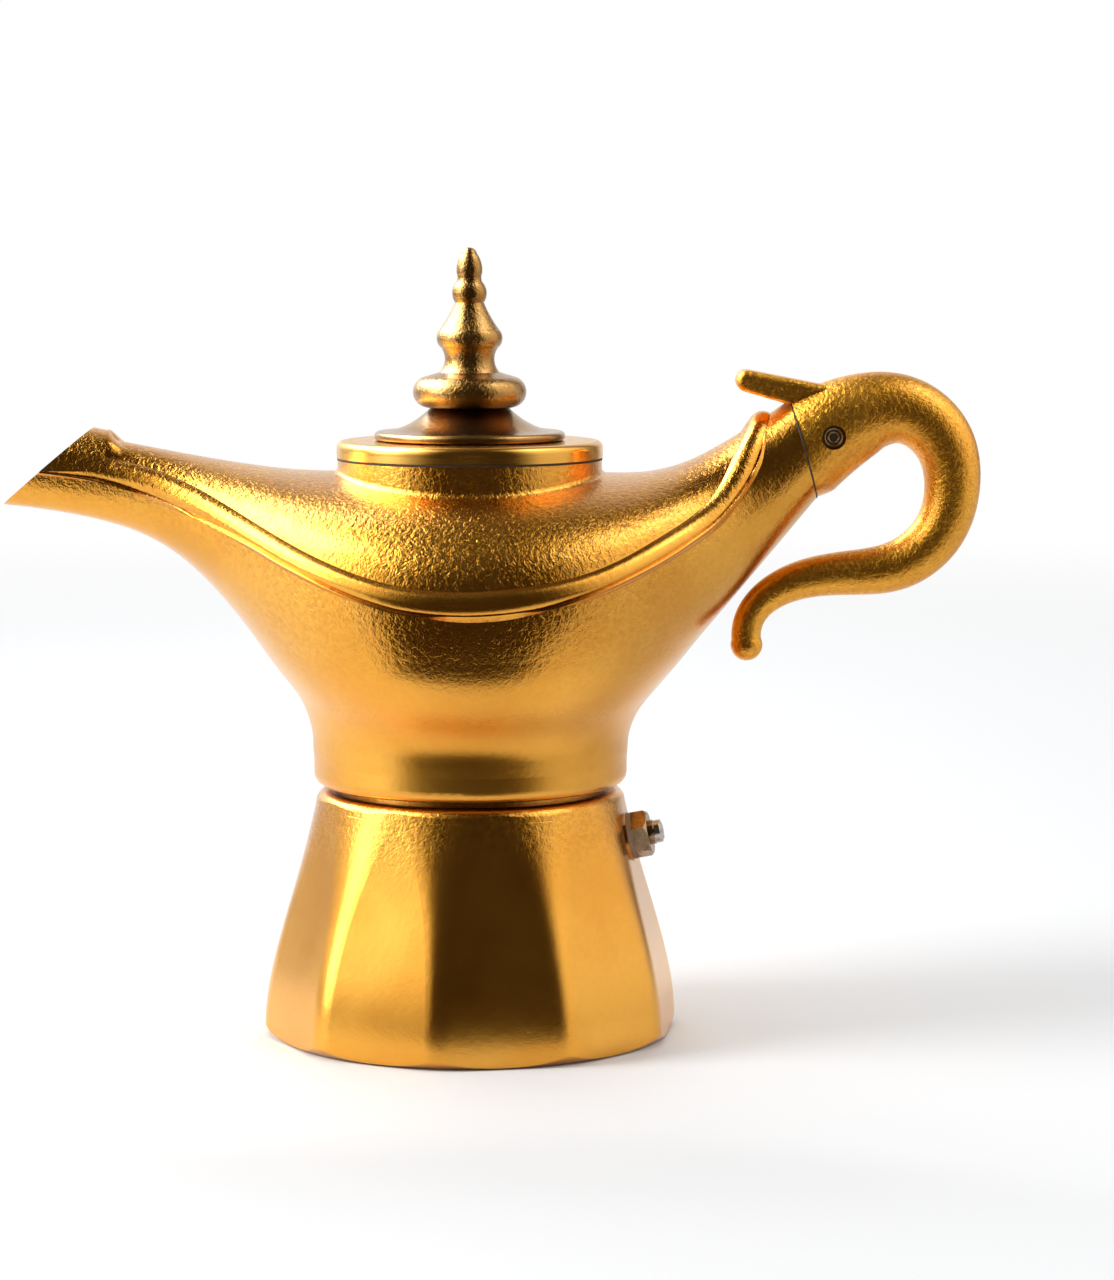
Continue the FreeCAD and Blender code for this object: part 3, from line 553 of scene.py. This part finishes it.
# small turned rings on an end face
ringLook = {"steps": 40, "sides": 8, "aside": (0.3, 0.2, 1)}


def turnedRings(name, middle, axis, look, material, body):
    across = axis.cross(Vector(ringLook["aside"])).normalized()
    outs = roundRun(ringLook["steps"], across, axis.cross(across).normalized())
    points, faces, wire = [], [], look["wire"]
    for radius in look["rings"]:
        faces.extend(quads(len(outs), ringLook["sides"], loop=True, first=len(points)))
        for out in outs:
            for turn in roundTurns(ringLook["sides"]):
                spot = out * (radius + wire * math.cos(turn)) + axis * wire * math.sin(turn)
                points.append(middle + spot * mm)
    meshPiece(name, points, faces, material, body)


buttonLook = {"rings": (1.15, 2.05), "wire": 0.16}
slide = Vector(next(j for j in frame["joints"] if j["name"] == "relief_slide")["axis"]).normalized()
spots = [v.co for v in nodes["valve_button"].data.vertices]
buttonMiddle = sum(spots, Vector()) / len(spots)
buttonMiddle += slide * max((spot - buttonMiddle).dot(slide) for spot in spots)
turnedRings("buttonRings", buttonMiddle, slide, buttonLook, steel, "relief")

# the valve spring between the cap and the stem's poppet, copied into a piece of its own; the part itself is
# hidden
spring = bpy.data.objects.new("shorteningSpring", nodes["valve_spring"].data.copy())
scene.collection.objects.link(spring)
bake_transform(spring)
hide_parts("valve_spring")

# hollow rivet: bright rolled edges, and a dark disc in the hole as painted shade
rivetTrim = {"x": 86.6, "z": 144.4, "face": 8.7, "rings": (1.22, 2.1), "wire": 0.22, "core": 1.03,
             "coreAt": 8.3, "coreSides": 24}
shadowLook = {"light": (0.05, 0.032, 0.018, 1), "dark": (0.025, 0.015, 0.008, 1), "cloudSize": 2 * mm,
              "grainSize": 0.3 * mm, "roughLow": 0.55, "roughHigh": 0.8, "grainForce": 0.3,
              "grainDepth": 0.02 * mm, "metallic": 0.0}
shadowGap = plainFinish("shadowGap", shadowLook)
rimLook = dict(rivetLook, light=(0.74, 0.60, 0.40, 1), dark=(0.56, 0.42, 0.26, 1))
rivetRim = plainFinish("rivetRim", rimLook)
for name, side in (("Front", -1), ("Back", 1)):
    middle = Vector((rivetTrim["x"], side * rivetTrim["face"], rivetTrim["z"])) * mm
    turnedRings("rivetRings" + name, middle, Vector((0, side, 0)), rivetTrim, rivetRim, "upper_pot")
    # painted shade: a dark disc inside the hole stands in for its depth
    disc = [Vector((rivetTrim["x"] + rivetTrim["core"] * math.cos(turn), side * rivetTrim["coreAt"],
                    rivetTrim["z"] + rivetTrim["core"] * math.sin(turn))) * mm
            for turn in roundTurns(rivetTrim["coreSides"])]
    meshPiece("rivetHoleShade" + name, disc, [tuple(range(len(disc)))], shadowGap, "upper_pot")


# thin closed band round a loop of places, each with its outward direction
def loopBand(name, places, outs, profile, ahead, material, body):
    points = [place + (out * n + ahead * u) * mm for place, out in zip(places, outs) for n, u in profile]
    meshPiece(name, points, quads(len(places), len(profile), loop=True), material, body)


# painted shadow: a dark ring under the lid's rim, standing in for the shade in the gap between lid and collar
lidGapLook = {"radius": 31.7, "height": 138.92, "turns": 96,
            "profile": ((-0.3, -0.28), (0.1, -0.28), (0.1, 0.27), (-0.3, 0.27))}
lidGapOuts = roundRun(lidGapLook["turns"])
lidGapLine = [(out * lidGapLook["radius"] + Vector((0, 0, lidGapLook["height"]))) * mm for out in lidGapOuts]
loopBand("lidGapShadow", lidGapLine, lidGapOuts, lidGapLook["profile"], Vector((0, 0, 1)), shadowGap, "lid")

# small cove at the foot of the collar
coveLook = {"radius": 31.7, "size": 1.5, "steps": 5, "turns": 96, "above": 0.16, "clear": 0.08, "sunk": 0.06,
            "pull": 0.1, "toe": 0.04}


def collarCove():
    points, rows = [], coveLook["steps"] + 1
    radius, size, sunk = (coveLook[key] for key in ("radius", "size", "sunk"))
    for out in roundRun(coveLook["turns"]):
        feet = []
        for r in (radius + coveLook["clear"], radius + size):
            hit = lampSkin.ray_cast(out * r * mm + Vector((0, 0, coveLook["above"])), Vector((0, 0, -1)))[0]
            feet.append(hit.z / mm)
        for k in range(rows):
            t = k / coveLook["steps"]
            r = radius - sunk + (size + sunk) * t * t
            z = ((1 - t) ** 2 * (feet[0] + size) + 2 * t * (1 - t) * (feet[0] + coveLook["pull"])
                 + t * t * (feet[1] - coveLook["toe"]))
            points.append(out * r * mm + Vector((0, 0, z * mm)))
    faces = quads(coveLook["turns"], rows, loop=True, wrap=False, flip=True)
    meshPiece("collarCove", points, faces, lampGold, "upper_pot")


collarCove()

# fairing behind the spout's lip: short on top, long down the sides, so the step runs out before the band
fairLook = {"from": -93.0, "to": -80.0, "step": 0.25, "axis": 136.0, "turns": 60, "spread": 74.0,
            "level": 35.0, "short": 1.4, "long": 8.0, "rows": 12, "beside": 0.9, "before": 0.1, "out": 0.06,
            "reach": 60, "even": 12, "ends": 0.35}
fairGold = castGold("fairGold", plainCast)


def lipFairing():
    rows, count = fairLook["rows"] + 1, int((fairLook["to"] - fairLook["from"]) / fairLook["step"])
    spread, turns = fairLook["spread"], fairLook["turns"]
    leans = [spread * (2 * turn / turns - 1) for turn in range(turns + 1)]
    places = [fairLook["from"] + fairLook["step"] * k for k in range(count)]

    def leanOut(lean):
        return Vector((0, math.sin(math.radians(lean)), math.cos(math.radians(lean))))

    def reach(x, lean):
        out, middle = leanOut(lean), Vector((x, 0, fairLook["axis"])) * mm
        hit = lampSkin.ray_cast(middle + out * fairLook["reach"] * mm, -out)[0]
        return (hit - middle).length / mm if hit else 0.0

    steps = []
    for lean in (lean for lean in leans if abs(lean) < fairLook["level"]):
        sizes = [reach(x, lean) for x in places]
        steps.append(places[max(range(count - 2), key=lambda k: sizes[k] - sizes[k + 2]) + 1])
    lip = sorted(steps)[len(steps) // 2]
    near, past = lip - fairLook["beside"], lip + fairLook["beside"]
    drops = evened([max(0.0, reach(near, lean) - reach(past, lean)) for lean in leans], fairLook["even"])
    points = []
    for lean, whole in zip(leans, drops):
        share = abs(lean) / spread
        drop = whole * min(1.0, (1.0 - share) / fairLook["ends"])
        length = fairLook["short"] + (fairLook["long"] - fairLook["short"]) * share
        for k in range(rows):
            t = k / fairLook["rows"]
            x = lip - fairLook["before"] + length * t
            fall = drop * (1 - t) ** 2 * (1 + 2 * t)
            size = reach(max(x, past), lean) + fall - fairLook["out"] * (2 * t - 1)
            points.append(Vector((x, 0, fairLook["axis"])) * mm + leanOut(lean) * size * mm)
    faces = quads(len(leans), rows, wrap=False)
    meshPiece("lipFairing", points, faces, fairGold, "upper_pot")


lipFairing()

# seam where the handle meets the tail: the casting's outline just inside its cut face
seamLook = {"x": 80.0, "z": 141.2, "tilt": 16.1, "inside": 0.25, "turns": 120, "reach": 40.0,
            "profile": ((-0.5, -0.2), (0.09, -0.2), (0.09, 0.2), (-0.5, 0.2))}


def tailSeam():
    tilt = math.radians(seamLook["tilt"])
    ahead, over = Vector((math.cos(tilt), 0, math.sin(tilt))), Vector((-math.sin(tilt), 0, math.cos(tilt)))
    middle = Vector((seamLook["x"], 0, seamLook["z"])) * mm - ahead * seamLook["inside"] * mm
    outs = roundRun(seamLook["turns"], Vector((0, 1, 0)), over)
    places = [lampSkin.ray_cast(middle + out * seamLook["reach"] * mm, -out)[0] for out in outs]
    loopBand("tailSeam", places, outs, seamLook["profile"], ahead, shadowGap, "upper_pot")


tailSeam()

# smooth skin under the handle's neck, over the end of the tenon: the underside as a large wheel feels it
swellLook = {"x": (84.5, 101.0), "y": (-8.5, 8.5), "step": 0.5, "below": 124.0, "slope": 0.85,
             "wheel": (30.0, 15.0), "fadeIn": (84.8, 87.0), "fadeOut": (97.0, 100.6), "fadeSide": (5.6, 8.2),
             "over": 0.04, "sunk": 0.15, "reach": 36}
gripSkin = skinOf("handle")


def wheelRun(run, places, wheel):
    first, last = (round(end) for end in (places[0] - swellLook["reach"], places[-1] + swellLook["reach"]))
    hubs = [(hub, min(low + (x - hub) ** 2 / (2 * wheel) for low, x in zip(run, places)))
            for hub in range(first, last + 1)]
    return [max(low - (x - hub) ** 2 / (2 * wheel) for hub, low in hubs) for x in places]


def neckSwell():
    step, rise = swellLook["step"], swellLook["slope"]
    alongs, acrosses = ([start + step * k for k in range(round((end - start) / step) + 1)]
                        for start, end in (swellLook["x"], swellLook["y"]))
    lows = []
    for x in alongs:
        lows.append([])
        for y in acrosses:
            start = Vector((x, y, swellLook["below"])) * mm
            hits = [skin.ray_cast(start, Vector((0, 0, 1)))[0] for skin in (gripSkin, lampSkin)]
            lows[-1].append(min(hit.z for hit in hits if hit) / mm - rise * x)
    rows = [wheelRun(row, alongs, swellLook["wheel"][0]) for row in zip(*lows)]
    felt = [wheelRun(row, acrosses, swellLook["wheel"][1]) for row in zip(*rows)]
    points = []
    for i, x in enumerate(alongs):
        inside = ease(x, *swellLook["fadeIn"]) * (1 - ease(x, *swellLook["fadeOut"]))
        for j, y in enumerate(acrosses):
            share = inside * (1 - ease(abs(y), *swellLook["fadeSide"]))
            z = felt[i][j] - swellLook["over"]
            z += (lows[i][j] + swellLook["sunk"] - z) * (1 - share) + rise * x
            points.append(Vector((x, y, z)) * mm)
    faces = quads(len(alongs), len(acrosses), wrap=False)
    meshPiece("neckSwell", points, faces, gripGold, "upper_pot")


neckSwell()
print("band edge, sweep, thread, seams and rings made")

# photo camera
cameraLook = {"place": (0.0209, -0.910, 0.196), "pitch": 6.334, "lens": 106.76, "sensor": 36.0,
              "clip": (0.01, 100.0)}
cameraData = bpy.data.cameras.new("photoCamera")
cameraData.lens = cameraLook["lens"]
cameraData.sensor_width = cameraLook["sensor"]
cameraData.clip_start, cameraData.clip_end = cameraLook["clip"]
camera = bpy.data.objects.new("photoCamera", cameraData)
camera.location = cameraLook["place"]
camera.rotation_euler = (math.radians(90.0 - cameraLook["pitch"]), 0.0, 0.0)
scene.collection.objects.link(camera)
scene.camera = camera


# pieces of the studio
def stagePiece(name, points, faces, material):
    mesh = bpy.data.meshes.new(name)
    mesh.from_pydata(points, [], faces)
    piece = bpy.data.objects.new(name, mesh)
    mesh.materials.append(material)
    scene.collection.objects.link(piece)
    return piece


def onlyMirrored(piece):
    piece.visible_camera = False
    piece.visible_shadow = False
    piece.visible_diffuse = False


def seenRays(tree):
    path = addNode(tree, "LightPath").outputs
    return most(tree, path["Is Camera Ray"], path["Is Glossy Ray"], path["Is Transmission Ray"])


def square(half, height):
    return [(-half, -half, height), (half, -half, height), (half, half, height), (-half, half, height)]


# pale table that fades to white in the distance
tableLook = {"half": 6.0, "colour": (0.90, 0.91, 0.92, 1), "rough": 0.6, "shine": 0.15, "fade": (0.45, 1.5)}


def tableMaterial():
    material, tree, shader, coords = startMaterial("paleTable")
    shader.inputs["Base Color"].default_value = tableLook["colour"]
    shader.inputs["Roughness"].default_value = tableLook["rough"]
    shader.inputs["Specular IOR Level"].default_value = tableLook["shine"]
    white = addNode(tree, "Emission", Strength=1.0)
    distance = addNode(tree, "VectorMath", {"operation": "LENGTH"}, i0=coords).outputs["Value"]
    share = times(tree, fade(tree, distance, *tableLook["fade"]), seenRays(tree))
    blend = addNode(tree, "MixShader", i0=share, i1=shader.outputs[0], i2=white.outputs[0])
    showShader(tree, blend.outputs[0])
    return material


stagePiece("table", square(tableLook["half"], 0.0), [(0, 1, 2, 3)], tableMaterial())

# dark card on the floor towards the camera, seen only in the metal
cardLook = {"dark": (0.05, 0.035, 0.02, 1), "height": 0.002, "near": -0.09, "far": -0.135, "left": -0.1,
            "leftSlope": 0.75, "right": 0.05, "rightSlope": 0.5, "side": (0.06, 0.25), "sideDim": 0.25,
            "leftSide": (-0.1, -0.24), "leftDim": 0.14, "reach": 1.4}


def cardMaterial():
    material, tree, shader, coords = startMaterial("floorCard")
    x, y = placeOf(tree, coords)[:2]
    leftShy = most(tree, less(tree, cardLook["left"], x), 0.0)
    rightShy = most(tree, less(tree, x, cardLook["right"]), 0.0)
    line = plus(tree, y, times(tree, leftShy, cardLook["leftSlope"]))
    line = plus(tree, line, times(tree, rightShy, cardLook["rightSlope"]))
    share = most(tree, fade(tree, line, cardLook["near"], cardLook["far"]),
                 fade(tree, x, *cardLook["side"], 0.0, cardLook["sideDim"]),
                 fade(tree, x, *cardLook["leftSide"], 0.0, cardLook["leftDim"]))
    glow = addNode(tree, "Emission", Color=cardLook["dark"], Strength=1.0)
    clear = addNode(tree, "BsdfTransparent")
    blend = addNode(tree, "MixShader", i0=share, i1=clear.outputs[0], i2=glow.outputs[0])
    showShader(tree, blend.outputs[0])
    return material


cardCorners = square(cardLook["reach"], cardLook["height"])
onlyMirrored(stagePiece("floorCard", cardCorners, [(0, 1, 2, 3)], cardMaterial()))

# studio tent that only the metal mirrors: bright left, softer right, dark towards the camera, with hot cores;
# turns and rises are in degrees
tentLook = {"radius": 1.5, "rings": 12, "segments": 48, "tint": (1.0, 0.97, 0.92, 1),
            "dusk": (1.0, 0.74, 0.42, 1), "duskTo": 0.6, "dim": 0.045,
            "left": 1.85, "leftFrom": (-165, -140), "leftTo": (-56, -28), "leftTop": (60, 76),
            "leftLow": (0, 26, 0.33),
            "right": 1.6, "rightFrom": (38, 66), "rightTo": (104, 150), "rightTop": (60, 77),
            "rightLow": (4, 45, 0.62),
            "back": 0.9, "backFrom": (138, 160), "backTop": (30, 78), "top": 0.04, "topFrom": (60, 85),
            "coreTint": (0.66, 0.76, 0.88, 1),
            "cores": ((12.0, (-160, -136, -72, -58), (20, 36, 58, 70)),
                      (5.0, (-92, -80, -66, -58), (2, 8, 18, 30)),
                      (2.4, (66, 78, 100, 116), (40, 50, 60, 72)))}


def tentMaterial():
    material, tree, shader, coords = startMaterial("tentCloth")
    place = placeOf(tree, coords)
    turn = sums(tree, "DEGREES", sums(tree, "ARCTAN2", place[0], times(tree, place[1], -1.0)))
    rise = sums(tree, "DEGREES", sums(tree, "ARCSINE", sums(tree, "DIVIDE", place[2], tentLook["radius"])))
    level = tentLook["dim"]
    for side in ("left", "right"):
        window = times(tree, fade(tree, turn, *tentLook[side + "From"]),
                       fade(tree, turn, *tentLook[side + "To"], 1.0, 0.0),
                       fade(tree, rise, *tentLook[side + "Top"], 1.0, 0.0),
                       fade(tree, rise, *tentLook[side + "Low"], 1.0))
        level = plus(tree, times(tree, window, tentLook[side]), level)
    behind = times(tree, fade(tree, sums(tree, "ABSOLUTE", turn), *tentLook["backFrom"]),
                   fade(tree, rise, *tentLook["backTop"], 1.0, 0.0))
    level = plus(tree, times(tree, behind, tentLook["back"]), level)
    level = plus(tree, level, fade(tree, rise, *tentLook["topFrom"], 0.0, tentLook["top"]))
    tone = mixColour(tree, fade(tree, level, 0.0, tentLook["duskTo"]), tentLook["dusk"], tentLook["tint"])
    glow = addNode(tree, "Emission", Color=tone, Strength=level).outputs[0]
    for strength, turns, rises in tentLook["cores"]:
        core = strength
        for value, (low, full, fading, end) in ((turn, turns), (rise, rises)):
            core = times(tree, times(tree, fade(tree, value, low, full),
                                     fade(tree, value, fading, end, 1.0, 0.0)), core)
        hot = addNode(tree, "Emission", Color=tentLook["coreTint"], Strength=core).outputs[0]
        glow = addNode(tree, "AddShader", i0=glow, i1=hot).outputs[0]
    showShader(tree, glow)
    return material


def tent():
    rings, segments, radius = tentLook["rings"], tentLook["segments"], tentLook["radius"]
    points, faces = [], []
    for ring in range(rings):
        rise = math.radians(90.0) * ring / rings
        for k, turn in enumerate(roundTurns(segments)):
            points.append((radius * math.cos(rise) * math.cos(turn), radius * math.cos(rise) * math.sin(turn),
                           radius * math.sin(rise)))
            if ring:
                base, after = ring * segments, (k + 1) % segments
                faces.append((base - segments + after, base - segments + k, base + k, base + after))
    points.append((0, 0, radius))
    last = (rings - 1) * segments
    faces.extend((last + (k + 1) % segments, last + k, len(points) - 1) for k in range(segments))
    onlyMirrored(stagePiece("tent", points, faces, tentMaterial()))


tent()

# lamps that light the table and cast the shadow, hidden from the metal: place, width, height, watts
boxLook = {"target": (0, 0, 0.05), "boxes": {"keyBox": ((-0.85, -0.25, 0.55), 0.45, 0.5, 8.0),
                                             "fillBox": ((0.85, -0.45, 0.65), 0.5, 0.5, 2.0),
                                             "backBox": ((0.0, 0.95, 0.95), 0.9, 0.4, 4.0)}}
for name, (place, width, height, watts) in boxLook["boxes"].items():
    light = bpy.data.lights.new(name, "AREA")
    light.shape = "RECTANGLE"
    light.size, light.size_y, light.energy = width, height, watts
    lamp = bpy.data.objects.new(name, light)
    lamp.location = place
    lamp.rotation_euler = (Vector(boxLook["target"]) - Vector(place)).to_track_quat("-Z", "Y").to_euler()
    lamp.visible_glossy = False
    scene.collection.objects.link(lamp)

# white world, softer for the rays that only light
worldLook = {"colour": (1, 1, 1, 1), "soft": 0.6}
world = bpy.data.worlds.new("studio")
scene.world = world
world.use_nodes = True
sky = world.node_tree
background = sky.nodes["Background"]
background.inputs["Color"].default_value = worldLook["colour"]
strength = plus(sky, times(sky, seenRays(sky), 1.0 - worldLook["soft"]), worldLook["soft"])
plug(sky, background.inputs["Strength"], strength)

scene.view_settings.view_transform = "Standard"
print("camera, table and lamps set")
